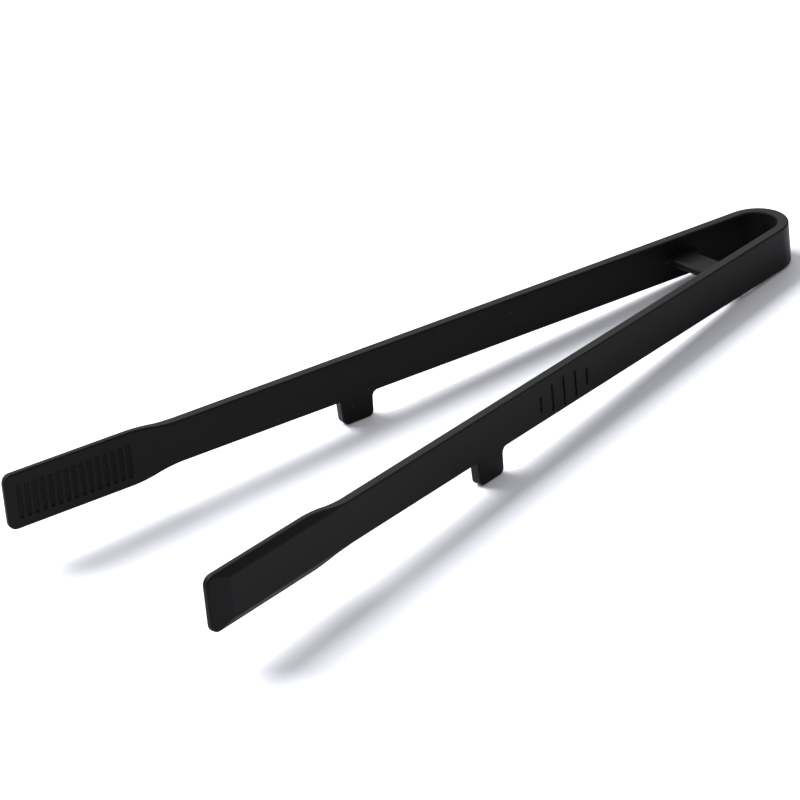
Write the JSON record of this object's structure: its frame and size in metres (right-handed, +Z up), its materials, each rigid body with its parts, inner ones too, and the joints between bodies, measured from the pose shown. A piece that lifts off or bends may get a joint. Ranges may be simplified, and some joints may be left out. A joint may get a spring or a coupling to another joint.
{
  "type": "spring tongs",
  "caption": "Slim one-handed kitchen tongs: silicone-skinned arms joined by a springy bow and web, with ribbed jaws and small feet that keep the jaws off the table.",
  "frame": {"origin": "under the middle of the tongs' box, on the surface they stand on", "axes": "+X towards the jaws, +Y towards the left arm, +Z up; the tongs stand on both feet and the bow's lower edge, so the arms rise about 3.1 degrees towards the jaws"},
  "size_m": [0.272, 0.0972, 0.0305],
  "materials": {
    "silicone_skin": "satin-matte black silicone rubber, fine moulded grain",
    "silicone_jaw": "satin-matte black silicone rubber, slightly smoother on the jaws",
    "nylon_core": "black glass-filled nylon, satin"
  },
  "bodies": {
    "head": {"spring_bow_core": "nylon_core", "spring_bow_skin": "silicone_skin", "bridge_web_skin": "silicone_skin"},
    "left_neck": {"left_neck_skin": "silicone_skin", "left_neck_core": "nylon_core"},
    "left_arm": {"left_arm_skin": "silicone_skin", "left_arm_core": "nylon_core", "left_foot": "silicone_skin", "left_jaw_skin": "silicone_jaw"},
    "right_neck": {"right_neck_skin": "silicone_skin", "right_neck_core": "nylon_core"},
    "right_arm": {"right_arm_skin": "silicone_skin", "right_arm_core": "nylon_core", "right_foot": "silicone_skin", "right_jaw_skin": "silicone_jaw"}
  },
  "joints": [
    {"name": "left_root_flex", "type": "hinge", "parent": "head", "child": "left_neck", "pos_m": [-0.08461, 0.01522, 0.00962], "axis": [0.0541, 0, -0.9985], "range_deg": [-2, 7.33], "stiffness_Nm_per_rad": 1.7},
    {"name": "left_mid_flex", "type": "hinge", "parent": "left_neck", "child": "left_arm", "pos_m": [-0.053, 0.01993, 0.01133], "axis": [0.0541, 0, -0.9985], "range_deg": [-1.45, 5.31], "stiffness_Nm_per_rad": 1.25},
    {"name": "right_root_flex", "type": "hinge", "parent": "head", "child": "right_neck", "pos_m": [-0.08461, -0.01522, 0.00962], "axis": [-0.0541, 0, 0.9985], "range_deg": [-2, 7.33], "stiffness_Nm_per_rad": 1.7},
    {"name": "right_mid_flex", "type": "hinge", "parent": "right_neck", "child": "right_arm", "pos_m": [-0.053, -0.01993, 0.01133], "axis": [-0.0541, 0, 0.9985], "range_deg": [-1.45, 5.31], "stiffness_Nm_per_rad": 1.25}
  ],
  "couplings": [
    {"joint": "left_mid_flex", "follows": "left_root_flex", "ratio": 0.724},
    {"joint": "right_root_flex", "follows": "left_root_flex", "ratio": 1},
    {"joint": "right_mid_flex", "follows": "left_root_flex", "ratio": 0.724}
  ]
}
